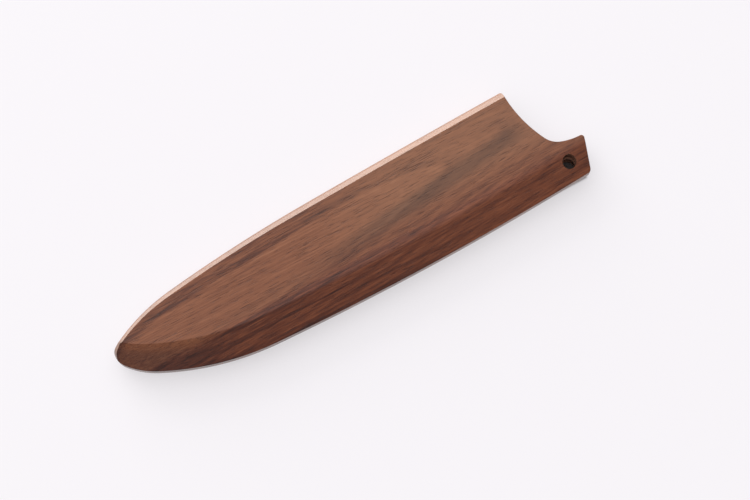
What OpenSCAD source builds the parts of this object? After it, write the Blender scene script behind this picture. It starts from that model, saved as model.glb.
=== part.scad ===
// Wooden blade guard for a small kitchen knife.
// Two carved walnut halves are glued face to face along the middle plane.
// The recess in each half makes the blade slot, and disc magnets in blind
// pockets hold the steel. A pin hole crosses the tail behind the blade's heel.
// Everything is drawn with the nose at x = 0, the blade along +X, the spine
// side at +Y and the glue plane at z = 0, then moved to the frame of the part:
// origin under the middle of the guard, at the face that it lies on.

/* [Overall] */
// Length from the nose to the tail's corner, before that corner is rounded
guard_l = 171.5; // [150:0.5:220]
// Thickness of one half, from the glue plane to its flat face
half_t = 5.5; // [4.8:0.1:8]

/* [Spine outline] */
// Radius of the nose on the spine side
spine_nose_r = 2.8; // [2:0.1:5]
// Heading of the outline where the nose ends, in degrees from the length
spine_nose_end = 30.4; // [24:0.2:36]
// Radius of the curve behind the nose
spine_front_r = 67; // [50:1:90]
// Heading where that curve ends
spine_front_end = 8.3; // [6:0.1:11]
// Radius of the long curve of the spine
spine_middle_r = 550; // [400:10:800]
// Heading where that curve ends
spine_middle_end = 2.65; // [2.2:0.05:3.4]
// Radius of the almost straight rest of the spine
spine_rear_r = 5000; // [3000:100:9000]

/* [Edge outline] */
// Radius of the nose on the edge side
edge_nose_r = 7; // [5:0.1:9]
// Heading of the outline where the nose ends, in degrees from the length
edge_nose_end = 49; // [42:0.5:55]
// Radius of the curve behind the nose
edge_front_r = 27; // [20:0.5:35]
// Heading where that curve ends
edge_front_end = 26.2; // [22:0.2:30]
// Radius of the belly of the edge side
edge_belly_r = 97; // [80:1:120]
// Heading where the belly ends
edge_belly_end = 2.4; // [1.8:0.1:3.5]
// Radius of the long rest of the edge side
edge_rear_r = 1080; // [900:10:1600]

/* [Section] */
// Height of the upright wall along the edge side of one half
edge_wall_h = 1.9; // [1.2:0.1:3]
// Width of the sloped face between that wall and the flat face
bevel_w = 9.5; // [6:0.1:12]
// Width of the chamfer along the spine
chamfer_w = 2; // [0.5:0.1:3]
// Height of that chamfer
chamfer_h = 1.7; // [0.5:0.1:2.5]
// How far the spine side leans in between the glue plane and the chamfer
spine_lean = 0.3; // [0.1:0.05:0.8]

/* [Handle end] */
// Length of the notch, from the corner where the spine stops to the tail's corner
notch_l = 16.9; // [15:0.1:20]
// Radius of the corner where the spine stops
spine_corner_r = 1.5; // [0.4:0.1:2.5]
// Radius of the long side of the notch, which clears the knife's neck
notch_side_r = 45; // [38:1:50]
// Heading where that side ends
notch_side_end = -63.4; // [-66:0.2:-60]
// Radius of the bend at the bottom of the notch
notch_bend_r = 7.1; // [5:0.1:9]
// Heading where the bend ends
notch_bend_end = -19.4; // [-24:0.2:-14]
// Radius of the notch along the top of the tail
notch_tail_r = 21; // [18:1:40]
// How far the tail's end face is set back at the edge side
tail_setback = 3.4; // [1:0.1:5]
// Radius of the tail's upper corner
tail_top_r = 1; // [0.4:0.1:1.5]
// Radius of the tail's lower corner
tail_low_r = 1.5; // [0.6:0.1:2.5]

/* [Blade slot] */
// Gap between the two halves where the blade slides in
slot_gap = 2.4; // [1.8:0.1:3.4]
// Solid wood between the slot and the edge side
slot_edge_wall = 4; // [3:0.1:6]
// Solid wood between the slot and the spine side
slot_spine_wall = 4; // [3:0.1:6]
// Distance that the slot's outline is set back from the nose
slot_tip_wall = 8; // [5:0.5:14]

/* [Pin hole] */
// Diameter of the hole for the retaining pin
pin_hole_d = 4.8; // [3:0.1:6]
// Distance from the hole's axis to the tail's corner, along the length
pin_from_end = 8.7; // [7.5:0.1:10]
// Distance from the hole's axis to the edge side
pin_from_edge = 6.3; // [5:0.1:7.5]

/* [Magnets] */
// Number of magnets in each half
magnet_count = 3; // [2:1:5]
// Diameter of a magnet
magnet_d = 8; // [5:0.5:10]
// Thickness of a magnet
magnet_t = 2; // [1:0.1:2.2]
// Gap around a magnet in its pocket
magnet_clearance = 0.1; // [0.05:0.05:0.3]
// Depth of a magnet's face below the slot's floor
magnet_sunk = 0.15; // [0.05:0.05:0.4]
// Distance from the nose to the first magnet
magnet_first_x = 45; // [35:1:50]
// Distance from the last magnet to the corner where the spine stops
magnet_last_gap = 19.6; // [12:0.2:30]
// Distance of the magnets' axes from the nose's level, towards the spine
magnet_up = 1; // [-3:0.5:4]

/* [Hidden] */
arc_steps = 12;      // straight pieces in each arc of an outline
fillet_steps = 6;    // straight pieces in each rounded corner
over = 5;            // how far blanks and cutters reach past the wood
round_steps = 72;    // straight pieces in a full circle, where one is drawn
skin = 0.01;         // thickness of the slices that shape a half
spine_arcs = [
    [spine_nose_r, spine_nose_end],
    [spine_front_r, spine_front_end],
    [spine_middle_r, spine_middle_end]
];
edge_arcs = [
    [edge_nose_r, edge_nose_end],
    [edge_front_r, edge_front_end],
    [edge_belly_r, edge_belly_end]
];
walnut = [0.53, 0.38, 0.30];
nickel = [0.75, 0.75, 0.77];
spine_l = guard_l - notch_l;
magnet_pitch = (spine_l - magnet_last_gap - magnet_first_x) / (magnet_count - 1);

function last(list) = list[len(list) - 1];
function unit(v) = v / norm(v);

// Points of an arc that leaves "at" along heading h0 and ends along heading h1.
// A positive radius turns right, a negative one turns left.
function arc(at, h0, h1, r) = [
    for (i = [1:arc_steps])
        let (h = h0 + (h1 - h0) * i / arc_steps)
        at + r * [sin(h0) - sin(h), cos(h) - cos(h0)]
];

// Arcs [radius, end heading] joined without a corner
function path(at, heading, arcs, i = 0) =
    i == len(arcs) ? [] :
    let (piece = arc(at, heading, arcs[i][1], arcs[i][0]))
    concat(piece, path(last(piece), arcs[i][1], arcs, i + 1));

// The heading at which an arc from "at" comes to x
function heading_at(at, h0, r, x) = asin(sin(h0) - (x - at[0]) / r);

// One side of the outline, from the nose to x, bulging to +Y
function side(arcs, rear_r, x) =
    let (
        front = concat([[0, 0]], path([0, 0], 90, arcs)),
        at = last(front),
        h0 = last(arcs)[1]
    )
    concat(front, arc(at, h0, heading_at(at, h0, rear_r, x), rear_r));

function spine_to(x) = side(spine_arcs, spine_rear_r, x);
function edge_to(x) = [for (p = side(edge_arcs, edge_rear_r, x)) [p[0], -p[1]]];

// Round corner of radius r at b, between the lines to a and to c
function fillet(a, b, c, r) =
    let (
        u = unit(a - b),
        w = unit(c - b),
        half = acos(u * w) / 2,
        o = b + unit(u + w) * r / sin(half),
        p = b + u * r / tan(half),
        start = atan2(p[1] - o[1], p[0] - o[0]),
        turn = (180 - 2 * half) * sign(u[1] * w[0] - u[0] * w[1])
    )
    [
        for (i = [0:fillet_steps])
            let (a = start + turn * i / fillet_steps)
            o + r * [cos(a), sin(a)]
    ];

// The wood's edge to the spine side and to the edge side at x
function spine_at(x) = last(spine_to(x));
function edge_at(x) = last(edge_to(x));

spine_corner = spine_at(spine_l);
spine_fillet = fillet(spine_at(spine_l - over), spine_corner, spine_corner - [0, over], spine_corner_r);
notch_front = path(
    last(spine_fillet), -90,
    [[-notch_side_r, notch_side_end], [-notch_bend_r, notch_bend_end]]
);
notch_rear = arc(
    last(notch_front), notch_bend_end,
    heading_at(last(notch_front), notch_bend_end, -notch_tail_r, guard_l), -notch_tail_r
);
tail_top = last(notch_rear);
tail_low = edge_at(guard_l - tail_setback);
tail_top_fillet = fillet(notch_rear[arc_steps - 2], tail_top, tail_low, tail_top_r);
tail_low_fillet = fillet(tail_top, tail_low, edge_at(guard_l - tail_setback - over), tail_low_r);

// The box that the wood fills
x_high = max([for (p = tail_top_fillet) p[0]]);
y_high = max([for (p = spine_fillet) p[1]]);
y_low = min([for (p = edge_to(last(tail_low_fillet)[0])) p[1]]);
pin_x = guard_l - pin_from_end;
pin_y = edge_at(pin_x)[1] + pin_from_edge;
slot_half = slot_gap / 2;
pocket_d = magnet_d + 2 * magnet_clearance;
pocket_top = slot_half + magnet_sunk + magnet_t;

// All the plane on the wood's side of the spine outline
module inside_spine() {
    far = guard_l + over;
    polygon(concat(spine_to(far), [[far, -far], [0, -far]]));
}

// All the plane on the wood's side of the edge outline
module inside_edge() {
    far = guard_l + over;
    polygon(concat(edge_to(far), [[far, far], [0, far]]));
}

// Outline of the blank at a height above the glue plane
module slice(z, spine_inset) {
    slope = max(0, (z - edge_wall_h) / (half_t - edge_wall_h));
    intersection() {
        translate([0, bevel_w * slope]) inside_edge();
        offset(delta = -spine_inset) inside_spine();
    }
}

// A half before the handle end is sawn: upright edge wall, sloped face,
// flat face and chamfered spine
module blank() {
    hull() {
        linear_extrude(height = edge_wall_h) slice(0, 0);
        translate([0, 0, half_t - chamfer_h - skin])
            linear_extrude(height = skin) slice(half_t - chamfer_h, spine_lean);
        translate([0, 0, half_t - skin])
            linear_extrude(height = skin) slice(half_t, spine_lean + chamfer_w);
    }
}

// What is sawn away at the handle end: the notch and the tail's slanted end
module handle_end_cut() {
    far = guard_l + over;
    translate([0, 0, -over])
        linear_extrude(height = half_t + 2 * over)
            polygon(concat(
                [[spine_fillet[0][0], y_high + over]],
                spine_fillet,
                notch_front,
                [for (i = [0:arc_steps - 2]) notch_rear[i]],
                tail_top_fillet,
                tail_low_fillet,
                [
                    [last(tail_low_fillet)[0], y_low - over],
                    [far + over, y_low - over],
                    [far + over, y_high + over]
                ]
            ));
}

// Recess for the blade in one half, open at the handle end
module blade_recess() {
    translate([0, 0, -over])
        linear_extrude(height = over + slot_half)
            intersection() {
                translate([slot_tip_wall, slot_edge_wall]) inside_edge();
                translate([slot_tip_wall, -slot_spine_wall]) inside_spine();
            }
}

module pin_hole() {
    translate([pin_x, pin_y, -over])
        cylinder(h = half_t + 2 * over, d = pin_hole_d, $fn = round_steps);
}

// Moves a child to magnet number i, on the glue plane
module at_magnet(i) {
    translate([magnet_first_x + i * magnet_pitch, magnet_up, 0]) children();
}

// One carved half, with its flat face up
module half() {
    difference() {
        blank();
        handle_end_cut();
        blade_recess();
        pin_hole();
        for (i = [0:magnet_count - 1])
            at_magnet(i) cylinder(h = pocket_top, d = pocket_d, $fn = round_steps);
    }
}

// A disc magnet seated against the bottom of its pocket
module magnet(i) {
    at_magnet(i)
        translate([0, 0, pocket_top - magnet_t])
            cylinder(h = magnet_t, d = magnet_d, $fn = round_steps);
}

// Moves a child to the frame of the part
module in_frame() {
    translate([-x_high / 2, -(y_high + y_low) / 2, half_t]) children();
}

module front_half() {
    color(walnut) in_frame() half();
}

module back_half() {
    color(walnut) in_frame() mirror([0, 0, 1]) half();
}

module front_magnet(i) {
    color(nickel) in_frame() magnet(i);
}

module back_magnet(i) {
    color(nickel) in_frame() mirror([0, 0, 1]) magnet(i);
}

front_half();
back_half();
for (i = [1:magnet_count]) {
    front_magnet(i - 1);
    back_magnet(i - 1);
}
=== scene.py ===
# %% [markdown]
# # A carved walnut blade guard
# The object is a wooden sheath for a small kitchen knife. Two halves of walnut
# are carved out, glued face to face and shaped as one. The CAD model settles
# every size. This lesson builds the two halves again with the eased arrises
# of hand work, gives them an oiled walnut made only of shader nodes, and lights
# them on a white table.

# %% Load the frame
import math

import bmesh
import bpy
from mathutils import Matrix, Vector


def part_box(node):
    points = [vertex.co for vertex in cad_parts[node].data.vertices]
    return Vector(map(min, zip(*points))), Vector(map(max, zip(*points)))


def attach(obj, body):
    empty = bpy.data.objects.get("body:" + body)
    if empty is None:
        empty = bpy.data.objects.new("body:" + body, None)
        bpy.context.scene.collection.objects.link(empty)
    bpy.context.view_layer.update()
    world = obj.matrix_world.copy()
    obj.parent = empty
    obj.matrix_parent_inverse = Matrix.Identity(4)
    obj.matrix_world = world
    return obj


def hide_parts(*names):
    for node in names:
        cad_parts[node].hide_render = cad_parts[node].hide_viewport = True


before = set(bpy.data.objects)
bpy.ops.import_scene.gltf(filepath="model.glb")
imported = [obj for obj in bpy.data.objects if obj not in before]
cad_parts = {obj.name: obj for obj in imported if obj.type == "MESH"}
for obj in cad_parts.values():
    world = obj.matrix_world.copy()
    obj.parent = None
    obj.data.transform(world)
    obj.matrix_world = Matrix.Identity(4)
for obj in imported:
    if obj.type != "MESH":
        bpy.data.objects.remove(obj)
bpy.context.view_layer.update()
print("pieces in the frame:", sorted(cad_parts))

# %% [markdown]
# Blender works in metres, and a guard is easier to think about in millimetres.
# So every shape here is drawn in millimetres, with the nose at x = 0, the
# spine side at +Y and the glue plane at z = 0. One matrix later takes a
# finished mesh to its place in the frame. What the lesson needs to know of the
# frame is the box of the upper half.

# %% From the drawing to the frame
MM = 0.001
GUARD_L = 171.5
half_low, half_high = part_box("front_half")
HALF_T = (half_high.z - half_low.z) / MM
print("half thickness in mm:", round(HALF_T, 3))

# %% [markdown]
# The outline is a chain of arcs, as a pattern maker would draw it. An arc is
# a vertex that is spun round a centre: the spin operator leaves a row of edges
# behind it. Each arc is given by its radius and by the heading at its end, and
# the next one starts along that heading, so the outline never has a corner.
# A positive radius turns right and a negative one turns left.

# %% Spin an outline
CHORD = 0.8
LEAST_STEPS = 6
SPINE_ARCS = [(2.8, 30.4), (67, 8.3), (550, 2.65)]
SPINE_REAR_R = 5000
EDGE_ARCS = [(-7, -49), (-27, -26.2), (-97, -2.4)]
EDGE_REAR_R = -1080
FAR_X = GUARD_L + 6
FAR_Y = 45


def along(heading):
    """Unit vector along a heading in degrees."""
    return Vector((math.cos(math.radians(heading)), math.sin(math.radians(heading)), 0))


def arc_end(start, heading, radius, end):
    """Where an arc from start comes to its end heading."""
    centre = start + radius * along(heading - 90)
    return centre - radius * along(end - 90)


def heading_at(start, heading, radius, x):
    """Heading at which an arc from start comes to x."""
    return math.degrees(math.asin(math.sin(math.radians(heading)) - (x - start.x) / radius))


def outline_at(arcs, rear_r, x):
    """Point and heading of one side of the outline at x, behind its first arcs."""
    at, heading = Vector((0, 0, 0)), math.copysign(90, arcs[0][0])
    for radius, end in arcs:
        at, heading = arc_end(at, heading, radius, end), end
    rear = heading_at(at, heading, rear_r, x)
    return arc_end(at, heading, rear_r, rear), rear


def spin_arc(bm, vertex, heading, radius, end):
    """Spins vertex along one arc and returns the vertex at its end."""
    centre = vertex.co + radius * along(heading - 90)
    turn = math.radians(end - heading)
    steps = max(LEAST_STEPS, math.ceil(abs(radius * turn) / CHORD))
    spun = bmesh.ops.spin(bm, geom=[vertex], cent=centre, axis=(0, 0, 1), angle=turn, steps=steps)
    return next(g for g in spun["geom_last"] if isinstance(g, bmesh.types.BMVert))


def spin_path(bm, vertex, heading, arcs):
    """Spins vertex along a chain of arcs and returns its last vertex."""
    for radius, end in arcs:
        vertex = spin_arc(bm, vertex, heading, radius, end)
        heading = end
    return vertex


def spin_side(bm, start, arcs, rear_r, far_x):
    """Spins one whole side of the outline and returns its first and last vertex."""
    nose = bm.verts.new(start)
    last = spin_path(bm, nose, math.copysign(90, arcs[0][0]), arcs)
    rear = heading_at(last.co, arcs[-1][1], rear_r, far_x)
    return nose, spin_arc(bm, last, arcs[-1][1], rear_r, rear)


def line_to(bm, vertex, points):
    """Draws straight edges from vertex through points and returns the last vertex."""
    for point in points:
        new = bm.verts.new(point)
        bm.edges.new((vertex, new))
        vertex = new
    return vertex


spine_end = outline_at(SPINE_ARCS, SPINE_REAR_R, GUARD_L)[0]
edge_end = outline_at(EDGE_ARCS, EDGE_REAR_R, GUARD_L)[0]
print("outline at the handle end in mm:", round(spine_end.y, 3), round(edge_end.y, 3))

# %% [markdown]
# Small helpers come next. A closed loop of edges becomes a board: one flat face
# that an inset with a depth lifts, and draws in as well where the sides lean.
# A modifier is tried on an object and then baked into its mesh. Two wooden
# shapes are combined with the Boolean modifier, which is the saw and the
# chisel of this lesson. Each shape brings its own material slot, so a surface
# that a cutter leaves behind keeps the cutter's finish.

# %% Objects and modifiers
oiled_walnut = bpy.data.materials.new("oiled_walnut")
end_walnut = bpy.data.materials.new("end_walnut")
raw_walnut = bpy.data.materials.new("raw_walnut")
burnished_walnut_painted_highlight = bpy.data.materials.new("burnished_walnut_painted_highlight")


def raise_board(bm, height, lean=0):
    """Fills the loop of edges and raises it to a solid whose sides lean in."""
    face = bmesh.ops.contextual_create(bm, geom=list(bm.edges))["faces"][0]
    face.normal_update()
    if face.normal.z < 0:
        face.normal_flip()
    bmesh.ops.inset_individual(bm, faces=[face], thickness=lean, depth=height, use_even_offset=True)
    bmesh.ops.holes_fill(bm, edges=[edge for edge in bm.edges if edge.is_boundary], sides=0)


def to_object(bm, name, material):
    """Turns a closed bmesh into an object with its faces pointing outwards."""
    bmesh.ops.recalc_face_normals(bm, faces=bm.faces)
    mesh = bpy.data.meshes.new(name)
    bm.to_mesh(mesh)
    bm.free()
    mesh.materials.append(material)
    made = bpy.data.objects.new(name, mesh)
    bpy.context.scene.collection.objects.link(made)
    return made


def apply_modifiers(target):
    """Replaces the mesh of target by what its modifiers make of it."""
    bpy.context.view_layer.update()
    seen = target.evaluated_get(bpy.context.evaluated_depsgraph_get())
    old = target.data
    target.data = bpy.data.meshes.new_from_object(seen)
    target.modifiers.clear()
    bpy.data.meshes.remove(old)


def edit(target, work):
    """Opens the mesh of target in a bmesh, lets work change it and puts it back."""
    bm = bmesh.new()
    bm.from_mesh(target.data)
    result = work(bm)
    bm.to_mesh(target.data)
    bm.free()
    return result


def carve(target, tool, operation="DIFFERENCE"):
    """Cuts target with tool, or keeps what they share, and removes the tool."""
    cut = target.modifiers.new("carve", "BOOLEAN")
    cut.operation = operation
    cut.solver = "EXACT"
    cut.material_mode = "TRANSFER"
    cut.object = tool
    apply_modifiers(target)
    bpy.data.objects.remove(tool)


# %% [markdown]
# The first blank is the edge side. On the real guard this is a wall that stands
# upright at the cutting edge, then a broad slope up to the flat face. Both
# follow the same curve, so one row of edges is spun once and then extruded:
# up for the wall, and up and inwards for the slope. The row runs on past the
# flat face, then over and down, and a bridge closes it to a solid. The blank
# is taller than the guard at both faces, so that it shares no plane with the
# next one.

# %% The edge side's blank
EDGE_WALL_H = 1.9
SLOPE_W = 9.5
SPARE = 1.5


def extrude_row(bm, edges, step):
    """Extrudes a row of edges, moves it by step and returns the new row."""
    grown = bmesh.ops.extrude_edge_only(bm, edges=edges)["geom"]
    new_verts = [g for g in grown if isinstance(g, bmesh.types.BMVert)]
    bmesh.ops.translate(bm, verts=new_verts, vec=step)
    on_row = set(new_verts)
    return [g for g in grown if isinstance(g, bmesh.types.BMEdge) and on_row.issuperset(g.verts)]


def edge_side_blank():
    """The solid behind the wall and the slope of the edge side."""
    bm = bmesh.new()
    spin_side(bm, (0, 0, -SPARE), EDGE_ARCS, EDGE_REAR_R, FAR_X + SPARE)
    first_row = list(bm.edges)
    rise = HALF_T - EDGE_WALL_H
    row = extrude_row(bm, first_row, (0, 0, EDGE_WALL_H + SPARE))
    row = extrude_row(bm, row, Vector((0, SLOPE_W, rise)) * (1 + SPARE / rise))
    row = extrude_row(bm, row, (0, FAR_Y, 0))
    row = extrude_row(bm, row, (0, 0, -HALF_T - 2 * SPARE))
    bmesh.ops.bridge_loops(bm, edges=row + first_row)
    bmesh.ops.holes_fill(bm, edges=bm.edges, sides=0)
    return to_object(bm, "edge_side_blank", oiled_walnut)


half = edge_side_blank()
print("edge side blank:", len(half.data.polygons), "faces")

# %% [markdown]
# The second blank is the spine side: the outline of the back of the guard, cut
# through the board with a slight lean. What the two blanks share is the half
# before its arrises are eased. Two plain solids keep the Boolean clean, and
# wherever two faces meet it leaves one long row of edges.

# %% The spine side's blank
SPINE_LEAN = 0.3 / 3.8


def spine_side_board(start, height, lean, material):
    """All the wood on the inner side of the spine outline."""
    bm = bmesh.new()
    nose, end = spin_side(bm, start, SPINE_ARCS, SPINE_REAR_R, FAR_X)
    far = line_to(bm, end, [(FAR_X, -FAR_Y, start[2]), (-SPARE, -FAR_Y, start[2])])
    bm.edges.new((far, nose))
    raise_board(bm, height, lean)
    return to_object(bm, "spine_side_board", material)


carve(half, spine_side_board((0, 0, 0), HALF_T, HALF_T * SPINE_LEAN, oiled_walnut), "INTERSECT")
print("half before its arrises are eased:", len(half.data.polygons), "faces")

# %% [markdown]
# Now the arrises are eased. The real guard has a crease that is crisp near the
# nose and soft at the handle end, and an edge-side arris that sandpaper has
# just touched. The Bevel modifier does both at once, because a weight on each
# edge scales its width. The weights are worked out from where an edge is.

# %% Ease the crease and the edge-side arris
CREASE_EASE = [(8, 0), (14, 0.1), (40, 0.3), (110, 0.9), (150, 1.3)]
EDGE_EASE = [(0, 0.2), (150, 0.2)]
EASE_STEPS = 5
WELD = 0.004
# Limits on a face's normal: how upright, how level, and how far it may face aft.
WALL_Z = 0.01
SLOPE_Z = (0.8, 0.98)
FLAT_Z = 0.999
WALL_X = 0.9


def blend_between(stops, x):
    """The value at x between stops of (x, value), without a kink."""
    for (x0, v0), (x1, v1) in zip(stops, stops[1:]):
        if x < x1:
            t = max(0, (x - x0) / (x1 - x0))
            return v0 + (v1 - v0) * t * t * (3 - 2 * t)
    return stops[-1][1]


def is_edge_wall(face):
    """An upright face, but not the far end of the blank."""
    return abs(face.normal.z) < WALL_Z and face.normal.x < WALL_X


def is_slope(face):
    """The broad slope of the edge side."""
    return SLOPE_Z[0] < face.normal.z < SLOPE_Z[1]


def is_flat(face):
    """The flat face."""
    return face.normal.z > FLAT_Z


def ease(target, rules, steps):
    """Bevels the edges between two kinds of faces, each pair with its own widths."""
    widest = max(width for _, _, stops in rules for _, width in stops)

    def weigh(bm):
        bmesh.ops.remove_doubles(bm, verts=bm.verts, dist=WELD)
        weight = bm.edges.layers.float.new("bevel_weight_edge")
        for edge in bm.edges:
            a, b = edge.link_faces
            for first, second, stops in rules:
                if (first(a) and second(b)) or (first(b) and second(a)):
                    middle = (edge.verts[0].co + edge.verts[1].co) / 2
                    edge[weight] = blend_between(stops, middle.x) / widest
        return sum(edge[weight] > 0 for edge in bm.edges)

    count = edit(target, weigh)
    bevel = target.modifiers.new("ease", "BEVEL")
    bevel.limit_method = "WEIGHT"
    bevel.offset_type = "OFFSET"
    bevel.width = widest
    bevel.segments = steps
    bevel.profile = 0.5
    bevel.material = -1
    bevel.use_clamp_overlap = False
    apply_modifiers(target)
    edit(target, lambda bm: bm.edges.layers.float.remove(bm.edges.layers.float["bevel_weight_edge"]))
    print("eased", count, "edges, up to", widest, "mm wide")


ease(half, [(is_flat, is_slope, CREASE_EASE), (is_slope, is_edge_wall, EDGE_EASE)], EASE_STEPS)

# %% [markdown]
# Along the spine the real guard has a broad pale strip, crisp on its inner
# side and rounded on its outer side, and narrower towards the nose. It is too
# wide for a bevel, which would fold over itself in the tight bend of the nose.
# More boards do it, as a plane would in four strokes, each steeper than the
# one before. The outline of each board is the spine's own, some millimetres
# further out, and its side leans in. Its second and third arcs are given less
# radius than that distance asks for, which widens the strip from the nose on.

# %% Plane the strip along the spine
STRIP_PROUD = 0.3
# Each stroke: how far it leans in per mm of height, its width on the flat at
# the nose, and what it takes from the radius of the second and the third arc.
STRIP_STROKES = [
    (1.6, 1.55, 7.5, 55), (0.986, 1.25, 5.5, 40), (0.607, 0.99, 3.7, 28), (0.323, 0.73, 1.9, 14),
]


def strip_board(lean, width, second, third):
    """All the wood on the inner side of one leaning stroke of the plane."""
    bm = bmesh.new()
    out = (HALF_T + SPARE) * lean - width
    less = [0, second, third]
    arcs = [(radius + out - taken, end) for (radius, end), taken in zip(SPINE_ARCS, less)]
    nose, end = spin_side(bm, (-out, 0, -SPARE), arcs, SPINE_REAR_R, FAR_X + 3 * HALF_T)
    far = line_to(bm, end, [(end.co.x, -2 * FAR_Y, -SPARE), (-out, -2 * FAR_Y, -SPARE)])
    bm.edges.new((far, nose))
    height = SPARE + HALF_T + STRIP_PROUD
    raise_board(bm, height, height * lean)
    return to_object(bm, "strip_board", oiled_walnut)


for stroke in STRIP_STROKES:
    carve(half, strip_board(*stroke), "INTERSECT")
print("half with its strip:", len(half.data.polygons), "faces")

# %% [markdown]
# The slope cuts the strip off just behind the tip. In the picture a narrow pale
# line carries the strip on round the nose, so a facet is made there, along the
# corner between the slope and the spine side. A knife would pare it off in
# short flat cuts, and so does this cell: each cut is a plane that leans halfway
# between the two faces, and what lies beyond it is cleared away and closed. The
# cuts are placed by the heading that the spine's first arc has at each of them.

# %% Pare the nose
NOSE_FACET_W = 1.5
NOSE_HEADINGS = [78, 68, 58, 48, 39, 31]
CUT_GAP = 0.0001


def nose_corner(heading):
    """The corner between slope and spine side at a heading of the nose, and both normals."""
    origin = Vector((0, 0, 0))
    on_spine = arc_end(origin, 90, SPINE_ARCS[0][0], heading)
    edge_heading = heading_at(origin, -90, EDGE_ARCS[0][0], on_spine.x)
    on_edge = arc_end(origin, -90, EDGE_ARCS[0][0], edge_heading)
    up_the_slope = Vector((0, SLOPE_W, HALF_T - EDGE_WALL_H))
    height = EDGE_WALL_H + (on_spine.y - on_edge.y) * up_the_slope.z / up_the_slope.y
    sideways = along(heading + 90)
    corner = on_spine - sideways * height * SPINE_LEAN + Vector((0, 0, height))
    return corner, along(edge_heading).cross(up_the_slope).normalized(), sideways


def pare_nose(bm):
    """Takes the corner of the nose off in short flat cuts."""
    for heading in NOSE_HEADINGS:
        corner, slope_normal, side_normal = nose_corner(heading)
        facing = (slope_normal + side_normal).normalized()
        depth = NOSE_FACET_W / 2 * math.tan(slope_normal.angle(side_normal) / 2)
        cut = bmesh.ops.bisect_plane(
            bm, geom=list(bm.verts) + list(bm.edges) + list(bm.faces), dist=CUT_GAP,
            plane_co=corner - facing * depth, plane_no=facing, clear_outer=True,
        )
        edges = [g for g in cut["geom_cut"] if isinstance(g, bmesh.types.BMEdge)]
        bmesh.ops.holes_fill(bm, edges=edges, sides=0)
    bmesh.ops.recalc_face_normals(bm, faces=bm.faces)
    return sum(not edge.is_manifold for edge in bm.edges)


print("open edges after paring the nose:", edit(half, pare_nose))

# %% [markdown]
# The handle end is sawn after the arrises are eased, as on the bench, so the
# saw leaves them running cleanly out to the notch. The cutter is a board too.
# Its outline comes down from above, rounds the corner where the spine stops,
# follows the notch in three arcs, rounds the tail's two corners, and closes in
# the air. Each rounded corner is one more spun arc between two lines.

# %% Saw the handle end
NOTCH_L = 16.9
SPINE_CORNER_R = 1.5
NOTCH_ARCS = [(-45, -63.4), (-7.1, -19.4)]
NOTCH_TAIL_R = -21
TAIL_SETBACK = 3.4
TAIL_TOP_R = 1
TAIL_LOW_R = 1.5
RUN_OUT = 1.8


def turn_corner(bm, vertex, corner, heading, end, radius):
    """Draws on from vertex to a corner that is rounded, and leaves it along end."""
    set_back = radius * math.tan(math.radians(heading - end) / 2)
    start = line_to(bm, vertex, [corner - along(heading) * set_back])
    return spin_arc(bm, start, heading, radius, end)


def handle_end_cutter():
    """What the saw takes away: the notch and the tail's slanted end."""
    bm = bmesh.new()
    floor = Vector((0, 0, -SPARE))
    corner, heading = outline_at(SPINE_ARCS, SPINE_REAR_R, GUARD_L - NOTCH_L)
    start = bm.verts.new(Vector((corner.x - SPINE_CORNER_R, FAR_Y, -SPARE)))
    at = turn_corner(bm, start, corner + floor, heading, -90, SPINE_CORNER_R)
    at = spin_path(bm, at, -90, NOTCH_ARCS)
    heading = NOTCH_ARCS[-1][1]
    end = heading_at(at.co, heading, NOTCH_TAIL_R, GUARD_L - RUN_OUT)
    at = spin_arc(bm, at, heading, NOTCH_TAIL_R, end)
    tail_top = at.co + along(end) * (GUARD_L - at.co.x) / math.cos(math.radians(end))
    tail_low, edge_heading = outline_at(EDGE_ARCS, EDGE_REAR_R, GUARD_L - TAIL_SETBACK)
    tail_low += floor
    down = tail_low - tail_top
    tail_heading = math.degrees(math.atan2(down.y, down.x))
    at = turn_corner(bm, at, tail_top, end, tail_heading, TAIL_TOP_R)
    at = turn_corner(bm, at, tail_low, tail_heading, edge_heading - 180, TAIL_LOW_R)
    far = FAR_X + 2 * SPARE
    at = line_to(bm, at, [(at.co.x, -FAR_Y, -SPARE), (far, -FAR_Y, -SPARE), (far, FAR_Y, -SPARE)])
    bm.edges.new((at, start))
    raise_board(bm, HALF_T + 2 * SPARE)
    return to_object(bm, "handle_end_cutter", end_walnut)


carve(half, handle_end_cutter())
print("half with its handle end:", len(half.data.polygons), "faces")

# %% [markdown]
# Inside, each half is hollowed for its share of the blade: a flat recess that
# keeps a wall along both sides and is open at the handle end. Its outline is
# the guard's own, set back from the nose and narrowed, so two boards that
# share their middle make the chisel. The pockets for the magnets and the hole
# for the pin are drilled with plain cylinders. All of this is bare, unoiled
# wood.

# %% Hollow and drill the half
SLOT_HALF = 1.2
SLOT_TIP_WALL = 8
SLOT_SIDE_WALL = 4
PIN_D = 4.8
PIN_FROM_END = 8.7
PIN_FROM_EDGE = 6.3
MAGNET_POCKET_D = 8.2
MAGNET_T = 2
MAGNET_SUNK = 0.15
MAGNET_POCKET_DEPTH = SLOT_HALF + MAGNET_SUNK + MAGNET_T
MAGNET_X = [45, 90, 135]
MAGNET_Y = 1
ROUND_STEPS = 64
COUNTERSINK = 0.2


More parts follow.
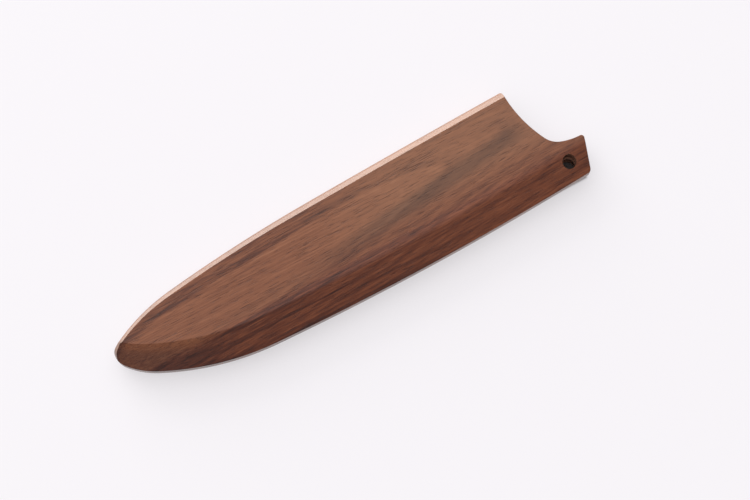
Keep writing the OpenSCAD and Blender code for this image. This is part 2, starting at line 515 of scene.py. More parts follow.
def recess_cutter():
    """The blade's recess in one half."""
    tip = (SLOT_TIP_WALL, -SLOT_SIDE_WALL, -SPARE)
    chisel = spine_side_board(tip, SPARE + SLOT_HALF, 0, raw_walnut)
    bm = bmesh.new()
    start = (SLOT_TIP_WALL, SLOT_SIDE_WALL, -2 * SPARE)
    nose, end = spin_side(bm, start, EDGE_ARCS, EDGE_REAR_R, FAR_X + SPARE)
    corners = [(FAR_X + SPARE, FAR_Y, start[2]), (SLOT_TIP_WALL - SPARE, FAR_Y, start[2])]
    bm.edges.new((line_to(bm, end, corners), nose))
    raise_board(bm, 3 * SPARE + SLOT_HALF)
    carve(chisel, to_object(bm, "edge_side_board", raw_walnut), "INTERSECT")
    return chisel


def drill(x, y, low, high, diameter):
    """A cylinder that bores from low to high."""
    bm = bmesh.new()
    place = Matrix.Translation((x, y, (low + high) / 2))
    bmesh.ops.create_cone(
        bm, cap_ends=True, segments=ROUND_STEPS, radius1=diameter / 2, radius2=diameter / 2,
        depth=high - low, matrix=place,
    )
    return to_object(bm, "drill", raw_walnut)


def countersink(x, y, diameter):
    """A cone that breaks the rim of a bore in the slope, sheared to lie along it."""
    rise = (HALF_T - EDGE_WALL_H) / SLOPE_W
    rim_z = HALF_T - rise * (outline_at(EDGE_ARCS, EDGE_REAR_R, x)[0].y + SLOPE_W - y)
    shear = Matrix.Identity(4)
    shear[2][1] = rise
    bm = bmesh.new()
    bmesh.ops.create_cone(
        bm, cap_ends=True, segments=ROUND_STEPS, radius1=diameter / 2 - COUNTERSINK,
        radius2=diameter / 2 + 3 * COUNTERSINK, depth=4 * COUNTERSINK,
        matrix=Matrix.Translation((x, y, rim_z)) @ shear @ Matrix.Translation((0, 0, COUNTERSINK)),
    )
    return to_object(bm, "countersink", oiled_walnut)


carve(half, recess_cutter())
for x in MAGNET_X:
    carve(half, drill(x, MAGNET_Y, -SPARE, MAGNET_POCKET_DEPTH, MAGNET_POCKET_D))
pin_x = GUARD_L - PIN_FROM_END
pin_y = outline_at(EDGE_ARCS, EDGE_REAR_R, pin_x)[0].y + PIN_FROM_EDGE
carve(half, drill(pin_x, pin_y, -SPARE, HALF_T + SPARE, PIN_D))
carve(half, countersink(pin_x, pin_y, PIN_D))
print("hollowed half:", len(half.data.polygons), "faces, pin hole at", round(pin_x, 2), round(pin_y, 2))

# %% [markdown]
# Sandpaper takes the burr off every sawn rim, and along the glue
# line a hair's breadth of each half is rounded too, which is what makes the
# joint between two halves visible at all.
# materials: an edge between the oiled face and a cut surface is a rim. A bevel
# slides its corners along the edges that meet it, so the short edges across
# the slope, which nearly follow the tail's end, are dissolved there first. The
# large flat face is then cut across every few millimetres, because one face
# with hundreds of corners is badly split into triangles.

# %% Ease the rims
RIM_EASE = 0.22
RIM_STEPS = 2
SEAM_EASE = 0.07
SEAM_ANGLE = 1
MERGE = 0.02
OILED_Z = 0.85
OILED_Y = 0.02
TAIL_CLEAR_X = 157
FLAT_ENOUGH = math.radians(1.5)
CUT_EVERY = 6


def clear_tail(bm):
    """Dissolves the edges between level faces near the tail's end."""
    near = [edge for edge in bm.edges if min(v.co.x for v in edge.verts) > TAIL_CLEAR_X]
    bmesh.ops.dissolve_limit(
        bm, angle_limit=FLAT_ENOUGH, verts=[], edges=near, delimit={"MATERIAL"},
        use_dissolve_boundaries=False,
    )


def rim_edges(bm, slots):
    """Edges where the cut surfaces in slots meet the flat or the slope."""
    rims = []
    for edge in bm.edges:
        if len(edge.link_faces) == 2 and min(v.co.z for v in edge.verts) > SLOT_HALF + MERGE:
            oiled = [f for f in edge.link_faces if f.material_index == 0 and f.normal.z > OILED_Z]
            cut = [f for f in edge.link_faces if f.material_index in slots]
            if oiled and cut and oiled[0].normal.y < OILED_Y:
                rims.append(edge)
    return rims


def seam_edges(bm):
    """Edges along the glue line, outside the recess."""
    return [
        edge for edge in bm.edges
        if len(edge.link_faces) == 2 and all(abs(v.co.z) < MERGE for v in edge.verts)
        and {face.material_index for face in edge.link_faces} <= {0, 1}
        and edge.calc_face_angle() > SEAM_ANGLE
    ]


def cut_across(bm):
    """Cuts every face where a plane across the guard meets it."""
    for x in range(CUT_EVERY, int(GUARD_L), CUT_EVERY):
        everything = list(bm.verts) + list(bm.edges) + list(bm.faces)
        bmesh.ops.bisect_plane(
            bm, geom=everything, dist=MERGE / 4, plane_co=(x, 0, 0), plane_no=(1, 0, 0),
        )


def ease_rims(bm):
    """Bevels the rims and the seam, and cuts the large faces across."""
    bmesh.ops.remove_doubles(bm, verts=bm.verts, dist=MERGE)
    bmesh.ops.dissolve_degenerate(bm, edges=bm.edges, dist=MERGE / 4)
    clear_tail(bm)
    rims = rim_edges(bm, {1})
    bmesh.ops.bevel(
        bm, geom=rims, offset=RIM_EASE, offset_type="OFFSET", segments=RIM_STEPS, profile=0.5,
        affect="EDGES", material=-1, clamp_overlap=False, loop_slide=True,
    )
    bm.normal_update()
    seam = seam_edges(bm)
    bmesh.ops.bevel(
        bm, geom=seam, offset=SEAM_EASE, offset_type="OFFSET", segments=1, profile=0.5,
        affect="EDGES", material=-1, clamp_overlap=False,
    )
    cut_across(bm)
    return len(rims), len(seam), sum(not edge.is_manifold for edge in bm.edges)


print("rim edges, seam edges and open edges:", edit(half, ease_rims))

# %% [markdown]
# The narrow faces that the hand rubs along end up glossier than the broad
# ones. They are the upright walls all round, the strip at the spine and the
# facet round the nose, and they get a finish of their own, which also carries a
# painted highlight in its colour. They are picked by the way they face: a wall
# looks sideways, the strip leans towards the spine side, and the facet leans
# towards the nose.

# %% Pick the burnished faces
UPRIGHT = 0.3
LEANING = 0.9
SPINEWARD = 0.15
NOSEWARD = -0.5
FACES_AFT = 0.3


def burnish(bm):
    """Moves walls, strip and facet to the burnished slot with its painted highlight, but not the rims
    of the notch.
    """
    slot = len(half.data.materials) - 1
    notch_x = GUARD_L - NOTCH_L
    count = 0
    for face in bm.faces:
        if face.material_index == 0 and face.normal.x < FACES_AFT:
            wall = abs(face.normal.z) < UPRIGHT
            strip = face.normal.z < LEANING and face.normal.y > SPINEWARD
            facet = face.normal.x < NOSEWARD and face.normal.y > -SPINEWARD
            notch_rim = face.normal.y > 0 and face.calc_center_median().x > notch_x
            if (wall or strip or facet) and not notch_rim:
                face.material_index = slot
                count += 1
    return count


half.data.materials.append(burnished_walnut_painted_highlight)
print("burnished faces:", edit(half, burnish))

# %% [markdown]
# The finished half is fitted to the box that the frame gives for it. The same
# matrix turns millimetres into metres. The lower half is its mirror image in
# the glue plane, made with a negative scale, and such a mesh is inside out
# until its normals are worked out again. Faces that meet at a gentle angle are
# shaded as one surface, and the Weighted Normal modifier keeps the large flat
# faces flat right up to their eased rims.

# %% Place the two halves
SHARP_ANGLE = math.radians(14)
LARGE_FACE_WEIGHT = 100


def extents(mesh):
    """The two corners of the box of a mesh."""
    points = [v.co for v in mesh.vertices]
    low = Vector(min(p[i] for p in points) for i in range(3))
    high = Vector(max(p[i] for p in points) for i in range(3))
    return low, high


def fit_matrix(mesh, low, high):
    """The matrix that takes the mesh's box to the box from low to high."""
    mesh_low, mesh_high = extents(mesh)
    scale = [(high[i] - low[i]) / (mesh_high[i] - mesh_low[i]) for i in range(3)]
    return Matrix.Translation(low) @ Matrix.Diagonal(scale + [1]) @ Matrix.Translation(-mesh_low)


def make_half(node, flip):
    """A copy of the drawn half in the place of a CAD node."""
    mesh = half.data.copy()
    mesh.name = node
    piece = bpy.data.objects.new(node + "_wood", mesh)
    bpy.context.scene.collection.objects.link(piece)
    low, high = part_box(node)

    def place(bm):
        bmesh.ops.scale(bm, verts=bm.verts, vec=(1, 1, -1 if flip else 1))
        bmesh.ops.recalc_face_normals(bm, faces=bm.faces)

    edit(piece, place)
    mesh.transform(fit_matrix(mesh, low, high))
    mesh.polygons.foreach_set("use_smooth", [True] * len(mesh.polygons))
    mesh.set_sharp_from_angle(angle=SHARP_ANGLE)
    weighted = piece.modifiers.new("weighted_normal", "WEIGHTED_NORMAL")
    weighted.keep_sharp = True
    weighted.weight = LARGE_FACE_WEIGHT
    apply_modifiers(piece)
    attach(piece, "root")
    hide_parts(node)
    size = [round(c / MM, 3) for c in high - low]
    print(piece.name, "faces:", len(piece.data.polygons), "box:", size)


make_half("front_half", False)
make_half("back_half", True)
drawing_origin = fit_matrix(half.data, half_low, half_high) @ Vector((0, 0, 0))
bpy.data.objects.remove(half)
print("the drawing's origin in the frame, in mm:", [round(c / MM, 3) for c in drawing_origin])

# %% [markdown]
# A finish starts from the wood itself. Walnut is a solid figure that every cut
# surface shows in its own way, so its nodes read Object coordinates, and the
# same material serves both halves: they were sawn from one board. A few
# helpers keep the node code short.

# %% Node helpers
class Nodes:
    """Makes shader nodes in one material and links them as they are made."""

    def __init__(self, material):
        material.use_nodes = True
        self.tree = material.node_tree
        self.tree.nodes.clear()

    def make(self, kind, settings=None, **inputs):
        """Makes a node, with settings on it and values or sockets as its inputs."""
        made = self.tree.nodes.new(kind)
        for name, value in (settings or {}).items():
            setattr(made, name, value)
        for name, value in inputs.items():
            key = int(name[1:]) if name[1:].isdigit() else name.replace("_", " ")
            self.put(made.inputs[key], value)
        return made

    def put(self, socket, value):
        """Links a socket to an input, or sets the input to a value."""
        if isinstance(value, bpy.types.NodeSocket):
            self.tree.links.new(value, socket)
        else:
            socket.default_value = value

    def math(self, operation, a, b=0.0, c=0.0):
        """One sum on two or three values."""
        return self.make("ShaderNodeMath", {"operation": operation}, i0=a, i1=b, i2=c).outputs[0]

    def both(self, a, b):
        """1 where two masks are 1, and their product elsewhere."""
        return self.math("MULTIPLY", a, b)

    def plus(self, base, value, share):
        """Adds a share of value to base."""
        return self.math("MULTIPLY_ADD", value, share, base)

    def sway(self, base, noise, share):
        """Moves base up and down with a noise, whose own middle is a half."""
        return self.plus(base, self.math("SUBTRACT", noise, 0.5), share)

    def vector(self, operation, a, b):
        """One sum on two vectors."""
        made = self.make("ShaderNodeVectorMath", {"operation": operation}, i0=a, i1=b)
        return made.outputs["Value" if operation == "DOT_PRODUCT" else "Vector"]

    def noise(self, vector, scale, detail, roughness=0.5):
        """Noise at a place, from 0 to 1."""
        return self.make(
            "ShaderNodeTexNoise", {"noise_dimensions": "3D"}, Vector=vector, Scale=scale,
            Detail=detail, Roughness=roughness,
        ).outputs[0]

    def stretched(self, place, stretch, detail, roughness=0.5):
        """Noise with its own number of grains to the unit along x, y and z."""
        return self.noise(self.vector("MULTIPLY", place, stretch), 1.0, detail, roughness)

    def span(self, value, low, high, to_low=0.0, to_high=1.0):
        """Maps the span from low to high to another one, with soft ends."""
        return self.make(
            "ShaderNodeMapRange", {"interpolation_type": "SMOOTHSTEP"},
            i0=value, i1=low, i2=high, i3=to_low, i4=to_high,
        ).outputs[0]

    def below(self, value, low, high):
        """1 below low and 0 above high, with a soft step between them."""
        return self.span(value, low, high, 1.0, 0.0)

    def near(self, value, middle, inner, outer):
        """1 where value is within inner of middle, and 0 where it is beyond outer."""
        gap = self.math("ABSOLUTE", self.math("SUBTRACT", value, middle))
        return self.below(gap, inner, outer)

    def mix(self, factor, a, b, blend="MIX"):
        """Mixes two colours, or multiplies the first by the second."""
        settings = {"data_type": "RGBA", "blend_type": blend}
        return self.make("ShaderNodeMix", settings, i0=factor, i6=a, i7=b).outputs[2]

    def tint(self, factor, colour, by):
        """Multiplies a colour by another one where factor is 1."""
        return self.mix(factor, colour, by, "MULTIPLY")


def rgb(hex_code):
    """A colour that is written as a picture shows it, in linear light."""
    parts = [int(hex_code[i:i + 2], 16) / 255 for i in (0, 2, 4)]
    return tuple(c / 12.92 if c <= 0.04045 else ((c + 0.055) / 1.055) ** 2.4 for c in parts) + (1.0,)


print("walnut brown in linear light:", [round(c, 3) for c in rgb("8c644f")])

# %% [markdown]
# Walnut's figure comes from growth rings. The board was sawn almost along
# them, so on the flat face they show as one long pale flame with darker bands
# nested round it, and they close to plain lines on the walls and on the back.
# One distance does all of this: how far a point lies from a long, thin
# ellipsoid, in which going down through the board counts as going outwards.
# Noise that is read along that distance gives bands that follow the flame.

# %% The distance that the rings follow
FLAME_X = 50.0
FLAME_HALF_L = 75.0
FLAME_HALF_W = 8.0
FLAME_RISE = 0.085
FLAME_Y_AT_0 = -5.6
RINGS_DOWN = 1.2
WANDER = 2.2
WANDER_GRAIN = (0.025, 0.07, 0.07)


def ring_distance(n, p):
    """Sockets: distance from the flame's heart, the same squared, how far across, and x, y, z."""
    x, y, z = n.make("ShaderNodeSeparateXYZ", None, i0=p).outputs
    drift = n.plus(-WANDER / 2, n.stretched(p, WANDER_GRAIN, 2), WANDER)
    axis = n.plus(FLAME_Y_AT_0, x, FLAME_RISE)
    across = n.math("DIVIDE", n.math("SUBTRACT", n.math("ADD", y, drift), axis), FLAME_HALF_W)
    length = n.math("DIVIDE", n.math("SUBTRACT", x, FLAME_X), FLAME_HALF_L)
    depth = n.math("MULTIPLY", n.math("SUBTRACT", HALF_T, z), RINGS_DOWN / (2 * HALF_T))
    flat = n.plus(n.both(across, across), length, length)
    squared = n.math("ADD", flat, depth)
    return n.math("SQRT", squared), squared, across, (x, y, z)


# %% [markdown]
# The colour is built up as a dye maker would read the board: a tone from dark
# to pale first, and one ramp of walnut browns for it. Broad and narrow rings,
# fibres and the pale inside of the flame all add to the tone. Dark streaks
# along the edge side take away from it. They lie on a darker ground over the
# whole edge-side slope, which is partly painted shade. Dark strokes on the
# flame's upper rim take away from it too. Every layer is one noise or one soft
# mask, whose numbers stand below: grains to the millimetre, places in
# millimetres, and shares of the tone.

# %% The tone of walnut
FIBRE_GRAIN = (0.03, 2.8, 2.8)
FIGURE_GRAIN = (0.16, 3.0, 3.0)
LINE_GRAIN = (0.012, 2.1, 2.1)
STREAK_GRAIN = (0.014, 0.62, 0.62)
BAND_DRIFT = 0.010
BROAD_BANDS = 5.5
NARROW_BANDS = 17.0
NARROW_SHIFT = (0, 7, 3)

BASE_TONE = 0.465
RING_SHARE = 0.9
NARROW_SHARE = 0.5
FIBRE_SHARE = 0.50
FIGURE_SHARE = 0.42
LINE_SHARE = 0.5
HEART_TONE = 0.15
STREAK_TONE = -0.24
STROKE_TONE = -0.22
RIM_TONE = 0.10
NOSE_TONE = -0.17

CONTRAST_RHO = (0.55, 1.0)
CONTRAST_X = (6.0, 30.0)
HEART_SQUARED = (0.88, 1.08)
STREAK_NOISE = (0.46, 0.62)
STREAK_X = (90.0, 150.0)
BELT_NEAR = (1.26, 0.08, 0.34)
BELT_ACROSS = (0.3, 0.8)
STROKE_NOISE = (0.40, 0.56)
STROKE_X = (88.0, 108.0)
RIM_NEAR = (0.93, 0.02, 0.10)
RIM_X = (80.0, 112.0)


def ring_tone(n, x, rho):
    """The tone with the rings in it, and the broad rings on their own."""
    drift = n.math("MULTIPLY", x, BAND_DRIFT)
    along_rings = n.make("ShaderNodeCombineXYZ", None, X=drift, Y=rho).outputs[0]
    broad = n.noise(along_rings, BROAD_BANDS, 3, 0.6)
    narrow = n.noise(n.vector("ADD", along_rings, NARROW_SHIFT), NARROW_BANDS, 2, 0.55)
    contrast = n.both(n.span(rho, *CONTRAST_RHO, 0.25, 1.0), n.span(x, *CONTRAST_X, 0.15, 1.0))
    rings = n.sway(n.math("SUBTRACT", broad, 0.5), narrow, NARROW_SHARE)
    return n.plus(BASE_TONE, n.both(rings, contrast), RING_SHARE), broad


def add_fibres(n, tone, p):
    """The tone with fibres, short figure and long lines in it, and the fibres alone."""
    fibre = n.stretched(p, FIBRE_GRAIN, 4, 0.7)
    tone = n.sway(tone, fibre, FIBRE_SHARE)
    tone = n.sway(tone, n.stretched(p, FIGURE_GRAIN, 3, 0.75), FIGURE_SHARE)
    return n.sway(tone, n.stretched(p, LINE_GRAIN, 2, 0.6), LINE_SHARE), fibre


def add_streaks(n, tone, p, x, low_side, belt):
    """The tone with the dark streaks of the edge side, over a darker ground that is partly painted
    shade, and the strokes on the flame's belt.
    """
    streak = n.stretched(p, STREAK_GRAIN, 2)
    streaks = n.both(n.span(streak, *STREAK_NOISE, 0.3, 1.35), low_side)
    tone = n.plus(tone, n.both(streaks, n.span(x, *STREAK_X, 1.0, 0.3)), STREAK_TONE)
    strokes = n.both(belt, n.span(streak, *STROKE_NOISE, 0.1, 1.0))
    return n.plus(tone, n.both(strokes, n.span(x, *STROKE_X, 1.0, 0.35)), STROKE_TONE)


print("fibres to the mm across the board:", FIBRE_GRAIN[1], "and along it:", FIBRE_GRAIN[0])

# %% [markdown]
# After the tone come the tints: a tan towards the handle end, a redder edge
# side that is partly the wood and partly painted shade, a greyer and more violet
# nose, a grey-violet mineral stripe that crosses the rings on a slant, and the
# pores, short dark dashes a third of a millimetre wide that every walnut board has.

# %% The colour and the height of walnut
BROWNS = [
    (0.0, (0.050, 0.012, 0.006)), (0.28, (0.110, 0.029, 0.012)), (0.5, (0.180, 0.055, 0.022)),
    (0.72, (0.245, 0.084, 0.036)), (1.0, (0.340, 0.140, 0.070)),
]
TAN = (0.320, 0.145, 0.076, 1)
TAN_X = (60.0, 120.0)
TAN_Y = (-9.0, 1.0)
# The edge-side slope's red tint: partly the wood's own colour, partly painted shade.
LOW_SIDE_RED_AND_SHADE = (1.07, 0.97, 1.0, 1)
LOW_SIDE_Y = (-11.0, -8.4)
NOSE_TINT = (0.87, 0.98, 1.26, 1)
NOSE_X = (12.0, 36.0)
NOSE_Z = (3.8, 5.2)
STRIPE_TINT = (0.60, 0.63, 0.68, 1)
STRIPE_SLOPE = 10.2 / 83.3
STRIPE_Y_AT_0 = -6.7 - 66.7 * STRIPE_SLOPE
STRIPE_RAGGED = 2.4
STRIPE_HALF_W = (0.8, 4.6)
STRIPE_X = (62.0, 108.0)
STRIPE_END_X = (148.0, 158.0)
STRIPE_Z = (1.0, 5.0)
PORE_TINT = (0.52, 0.45, 0.42, 1)
PORE_GRAIN = (0.2, 4.6, 4.6)
PORE_NOISE = (0.58, 0.70)
PORES_ON_BELT = 0.07
PORES_ON_BROAD = -0.14
FIBRE_HEIGHT = 0.35


def walnut_ramp(n, tone):
    """The brown of a tone."""
    ramp = n.make("ShaderNodeValToRGB", None, Fac=tone)
    stops = ramp.color_ramp.elements
    while len(stops) < len(BROWNS):
        stops.new(0.5)
    for stop, (position, brown) in zip(stops, BROWNS):
        stop.position = position
        stop.color = brown + (1,)
    return ramp.outputs[0]


def mineral_stripe(n, x, y, z, fibre):
    """1 on the slanted stripe, which is ragged along the fibres."""
    beside = n.plus(n.math("SUBTRACT", y, STRIPE_Y_AT_0), x, -STRIPE_SLOPE)
    beside = n.sway(beside, fibre, STRIPE_RAGGED)
    stripe = n.below(n.math("ABSOLUTE", beside), *STRIPE_HALF_W)
    stripe = n.both(stripe, n.span(x, *STRIPE_X, 0.25, 1.0))
    stripe = n.both(stripe, n.below(x, *STRIPE_END_X))
    return n.both(stripe, n.span(n.math("ABSOLUTE", z), *STRIPE_Z, 0.3, 1.0))


def walnut_pattern(n):
    """Sockets: place in mm, the wood's colour, its fibres and its height."""
    place = n.make("ShaderNodeTexCoord").outputs["Object"]
    p = n.make(
        "ShaderNodeMapping", {"vector_type": "POINT"}, Vector=place,
        Location=-drawing_origin / MM, Scale=(1 / MM, 1 / MM, 1 / MM),
    ).outputs[0]
    rho, squared, across, (x, y, z) = ring_distance(n, p)
    low_side = n.below(y, *LOW_SIDE_Y)
    belt = n.both(n.near(squared, *BELT_NEAR), n.span(across, *BELT_ACROSS))
    rim = n.both(n.near(squared, *RIM_NEAR), n.span(x, *RIM_X))
    on_nose = n.both(n.below(n.math("ABSOLUTE", z), *NOSE_Z), n.below(x, *NOSE_X))

    tone, broad = ring_tone(n, x, rho)
    tone, fibre = add_fibres(n, tone, p)
    tone = n.plus(tone, n.below(squared, *HEART_SQUARED), HEART_TONE)
    tone = add_streaks(n, tone, p, x, low_side, belt)
    tone = n.plus(tone, rim, RIM_TONE)
    tone = n.plus(tone, on_nose, NOSE_TONE)

    tan = n.both(n.span(x, *TAN_X, 0.0, 0.5), n.span(y, *TAN_Y, 0.1, 1.0))
    colour = n.mix(tan, walnut_ramp(n, tone), TAN)
    # Redder on the edge-side slope: partly the wood, partly painted shade.
    colour = n.tint(low_side, colour, LOW_SIDE_RED_AND_SHADE)
    colour = n.tint(on_nose, colour, NOSE_TINT)
    colour = n.tint(mineral_stripe(n, x, y, z, fibre), colour, STRIPE_TINT)

    crowd = n.sway(n.math("MULTIPLY", belt, PORES_ON_BELT), broad, PORES_ON_BROAD)
    pores = n.span(n.math("ADD", n.stretched(p, PORE_GRAIN, 1), crowd), *PORE_NOISE)
    colour = n.tint(pores, colour, PORE_TINT)
    height = n.plus(n.math("MULTIPLY", fibre, FIBRE_HEIGHT), pores, -1.0)
    return p, colour, fibre, height


# %% [markdown]
# The same wood then gets four finishes. Outside it is oiled and rubbed to a
# satin gloss: a thin coat over a fairly rough surface, with the pores sunk in
# by a fine bump. The sawn ends drink more oil, so they are darker and duller.
# The inside was never oiled and stays pale and matt. The walls and the strip
# are burnished and glossier, and their colour is painted paler the higher they
# lie, most of all on the strip, as a painted highlight.

# %% Shade the wood
BUMP = 0.5
OILED = {"Specular_IOR_Level": 0.32, "Coat_Weight": 0.1, "Coat_Roughness": 0.25}
OILED_ROUGH = (0.36, 0.48)
SAWN = {"Roughness": 0.55, "Coat_Weight": 0.2, "Coat_Roughness": 0.4}
SAWN_TINT = (0.62, 0.56, 0.52, 1)
RAW = {"Roughness": 0.8}
RAW_WOOD = (0.30, 0.19, 0.13, 1)
RAW_SHARE = 0.35
BURNISHED = {
    "Roughness": 0.32, "Specular_IOR_Level": 0.5, "Coat_Weight": 0.35, "Coat_Roughness": 0.2,
}
# A painted highlight on the burnished faces: from and to this height over the glue plane, and by these
# shares.
HIGHLIGHT_FROM_TO = (2.4, 3.4)
HIGHLIGHT_SHARE = (0.16, 0.34)
HIGHLIGHT_PAINT = (0.62, 0.38, 0.26, 1)


def finish(n, colour, height, settings, depth):
    """The shader on top of a pattern: settings are its inputs, depth its relief in mm."""
    bump = n.make("ShaderNodeBump", None, Strength=BUMP, Distance=depth * MM, Height=height)
    shader = n.make(
        "ShaderNodeBsdfPrincipled", None, Base_Color=colour, Normal=bump.outputs[0], **settings,
    )
    n.make("ShaderNodeOutputMaterial", None, Surface=shader.outputs[0])


n = Nodes(oiled_walnut)
_, colour, fibre, height = walnut_pattern(n)
rough = n.span(fibre, 0.3, 0.7, *OILED_ROUGH)
finish(n, colour, height, {"Roughness": rough, **OILED}, 0.12)

n = Nodes(end_walnut)
_, colour, _, height = walnut_pattern(n)
finish(n, n.tint(1.0, colour, SAWN_TINT), height, SAWN, 0.2)

n = Nodes(raw_walnut)
_, colour, _, height = walnut_pattern(n)
finish(n, n.mix(RAW_SHARE, colour, RAW_WOOD), height, RAW, 0.2)

n = Nodes(burnished_walnut_painted_highlight)
p, colour, _, height = walnut_pattern(n)
from_glue_plane = n.math("ABSOLUTE", n.make("ShaderNodeSeparateXYZ", None, i0=p).outputs[2])
# Painted highlight: paler the higher a burnished face lies over the glue plane.
painted_highlight = n.span(from_glue_plane, *HIGHLIGHT_FROM_TO, *HIGHLIGHT_SHARE)
finish(n, n.mix(painted_highlight, colour, HIGHLIGHT_PAINT), height, BURNISHED, 0.05)
print("nodes in the oiled walnut:", len(oiled_walnut.node_tree.nodes))

# %% [markdown]
# The magnets are nickel-plated discs. They show only where light falls into
# the slot, so a plain satin metal with a faint grain is enough.

# %% Nickel for the magnets
NICKEL = "c8c6c2"
NICKEL_GRAIN = (900, 900, 900)
NICKEL_ROUGH = (0.22, 0.38)


def nickel():
    """The plating of the magnets."""
    material = bpy.data.materials.new("satin_nickel")
    n = Nodes(material)
    place = n.make("ShaderNodeTexCoord").outputs["Object"]
    rough = n.span(n.stretched(place, NICKEL_GRAIN, 3, 0.6), 0.3, 0.7, *NICKEL_ROUGH)
    shader = n.make(
        "ShaderNodeBsdfPrincipled", None, Base_Color=rgb(NICKEL), Metallic=1.0, Roughness=rough,
    )
    n.make("ShaderNodeOutputMaterial", None, Surface=shader.outputs[0])
    return material


magnet_metal = nickel()
for name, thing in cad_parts.items():
    if "magnet" in name:
        thing.data.materials.clear()
        thing.data.materials.append(magnet_metal)

# %% [markdown]
# The guard lies on a white table. A camera sees a white table as white, but a
# table that is only lit comes out grey, so part of what camera rays and
# mirrored rays see of it is a plain white of its own. The rest is paint, which
# keeps the shadow of the guard. In the narrow gap under the edge-side slope
# there is no such white, and the paint itself is darkened there as a painted
# shadow, because hardly any light reaches in there.

# %% The table
TABLE_R = 4.0
TABLE_DROP = 0.0001
TABLE_WHITE = (0.985, 0.96, 0.985, 1)
TABLE_PAINT = (0.855, 0.825, 0.865, 1)
# The colour of a painted shadow on the table in the gap under the slope.
SHADED_PAINT = (0.18, 0.17, 0.17, 1)
SHADE_X = (60, 167)
SHADE_Y = (-18.5, -10)
SHADE_SOFT = 1.4
SHADE_FADE_X = 30.8
TABLE_GLOW = 0.6


def seen_or_mirrored(n):
    """1 for rays from the camera and mirrored rays, so that a gloss shows the same white."""
    path = n.make("ShaderNodeLightPath").outputs
    mirrored = n.math("MAXIMUM", path["Is Glossy Ray"], path["Is Transmission Ray"])
    return n.math("MAXIMUM", path["Is Camera Ray"], mirrored)


def under_the_slope(n):
    """1 on the table in the narrow gap under the edge-side slope, where the paint gets a painted
    shadow.
    """
    place = n.make("ShaderNodeTexCoord").outputs["Object"]
    x, y, _ = n.make("ShaderNodeSeparateXYZ", None, i0=place).outputs
    soft = SHADE_SOFT * MM
    fade = SHADE_FADE_X * MM
    low_x, high_x = [drawing_origin.x + end * MM for end in SHADE_X]
    low_y, high_y = [drawing_origin.y + end * MM for end in SHADE_Y]
    across = n.both(n.span(y, low_y - soft, low_y), n.below(y, high_y, high_y + soft))
    length = n.both(n.span(x, low_x - fade, low_x), n.below(x, high_x, high_x + soft))
    return n.both(across, length)


def table():
    """A round white table top, part glow and part paint."""
    bm = bmesh.new()
    bmesh.ops.create_circle(bm, cap_ends=True, segments=ROUND_STEPS, radius=TABLE_R)
    bmesh.ops.translate(bm, verts=bm.verts, vec=(0, 0, -TABLE_DROP))
    material = bpy.data.materials.new("white_table")
    made = to_object(bm, "table", material)
    n = Nodes(material)
    glow = n.make("ShaderNodeEmission", None, Color=TABLE_WHITE).outputs[0]
    shade = under_the_slope(n)
    lit = n.plus(TABLE_GLOW, shade, -TABLE_GLOW)
    seen = n.both(seen_or_mirrored(n), lit)
    # Painted shadow: the paint turns dark in the gap under the slope.
    coat = n.mix(shade, TABLE_PAINT, SHADED_PAINT)
    paint = n.make("ShaderNodeBsdfDiffuse", None, Color=coat).outputs[0]
    mixed = n.make("ShaderNodeMixShader", None, i0=seen, i1=paint, i2=glow).outputs[0]
    n.make("ShaderNodeOutputMaterial", None, Surface=mixed)
    return made


white_table = table()
print(white_table.name, "lies", TABLE_DROP / MM, "mm under the guard, and is", 2 * TABLE_R, "m wide")

# %% [markdown]
# Two lights make the picture. A window, low on the spine side, catches the
# strip there. The studio itself is bright above and behind the table and dim
# in front of it, so the flat face is lighter than the slope beside it, and the
# crease between them shows.

# %% The lights
KEY_STRENGTH = 4.0
KEY_TOWARD = (-0.1, 1.0, 0.30)
KEY_DISTANCE = 1.6
KEY_W = 1.4
KEY_H = 0.95
SKY_TOWARD = (-0.10, 0.55, 0.83)
SKY_FACING = (0.2, 1.0)
SKY_DIM = 0.2
SKY_BRIGHT = 2.0


def softbox(name, toward, distance, width, height, radiance):
    """A rectangular lamp of a given radiance that looks back along toward."""
    lamp = bpy.data.lights.new(name, "AREA")
    lamp.shape = "RECTANGLE"
    lamp.size = width
    lamp.size_y = height
    lamp.energy = radiance * math.pi * width * height
    made = bpy.data.objects.new(name, lamp)
    back = Vector(toward).normalized()
    turn = back.to_track_quat("Z", "Y").to_matrix().to_4x4()
    made.matrix_world = Matrix.Translation(back * distance) @ turn
    bpy.context.scene.collection.objects.link(made)
    return made


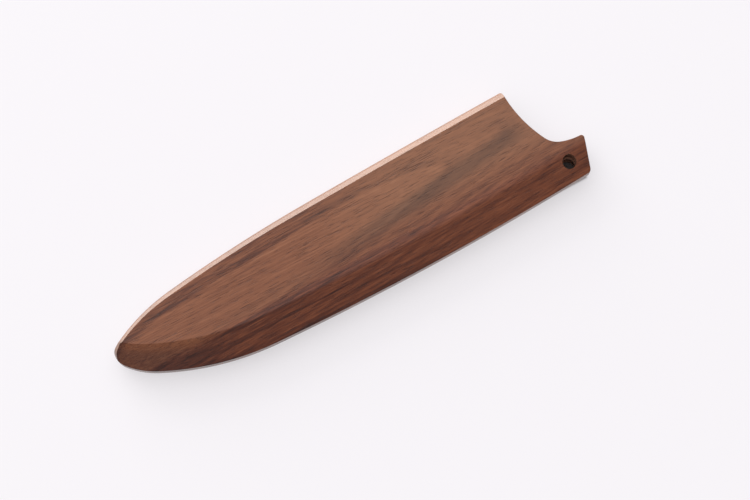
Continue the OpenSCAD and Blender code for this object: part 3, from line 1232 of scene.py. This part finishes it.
def sky():
    """A studio that is bright above and behind the table and dim in front of it."""
    world = bpy.data.worlds.new("studio")
    bpy.context.scene.world = world
    n = Nodes(world)
    direction = n.make("ShaderNodeTexCoord").outputs["Generated"]
    facing = n.vector("DOT_PRODUCT", direction, SKY_TOWARD)
    level = n.span(facing, *SKY_FACING, SKY_DIM, SKY_BRIGHT)
    light = n.make("ShaderNodeBackground", None, Strength=level).outputs[0]
    white = n.make("ShaderNodeBackground", None, Color=TABLE_WHITE).outputs[0]
    seen = n.make("ShaderNodeLightPath").outputs["Is Camera Ray"]
    mixed = n.make("ShaderNodeMixShader", None, i0=seen, i1=light, i2=white).outputs[0]
    n.make("ShaderNodeOutputWorld", None, Surface=mixed)


window = softbox("window", KEY_TOWARD, KEY_DISTANCE, KEY_W, KEY_H, KEY_STRENGTH)
sky()
print("the window gives", round(window.data.energy, 1), "W")

# %% [markdown]
# The camera stands where the photograph was taken from: almost straight above,
# a little to the nose and to the edge side, and turned so that the guard
# crosses the frame on a slant. Its place and its turn were fitted to the
# outline in the picture.

# %% The camera
LOOK_AT = Vector((6.847, -5.885, 0)) * MM
LOOK_BACK = Vector((-0.11398, -0.20052, 0.97304)).normalized()
IMAGE_UP = Vector((0.4755, 0.8797, 0))
CAMERA_DISTANCE = 593.09 * MM
LENS = 85.0
SENSOR_W = 36
NEAREST = 0.01


def camera():
    """The camera, with its own axes worked out from the way back and the image's up."""
    lens = bpy.data.cameras.new("camera")
    lens.lens = LENS
    lens.sensor_width = SENSOR_W
    lens.clip_start = NEAREST
    made = bpy.data.objects.new("camera", lens)
    right = IMAGE_UP.cross(LOOK_BACK).normalized()
    up = LOOK_BACK.cross(right)
    turn = Matrix((right, up, LOOK_BACK)).transposed().to_4x4()
    made.matrix_world = Matrix.Translation(LOOK_AT + LOOK_BACK * CAMERA_DISTANCE) @ turn
    bpy.context.scene.collection.objects.link(made)
    bpy.context.scene.camera = made
    return made


eye = camera()
print("the camera stands in mm at:", [round(c / MM, 1) for c in eye.matrix_world.translation])
bpy.context.scene.view_settings.view_transform = "Standard"

# %% End
bpy.context.view_layer.update()
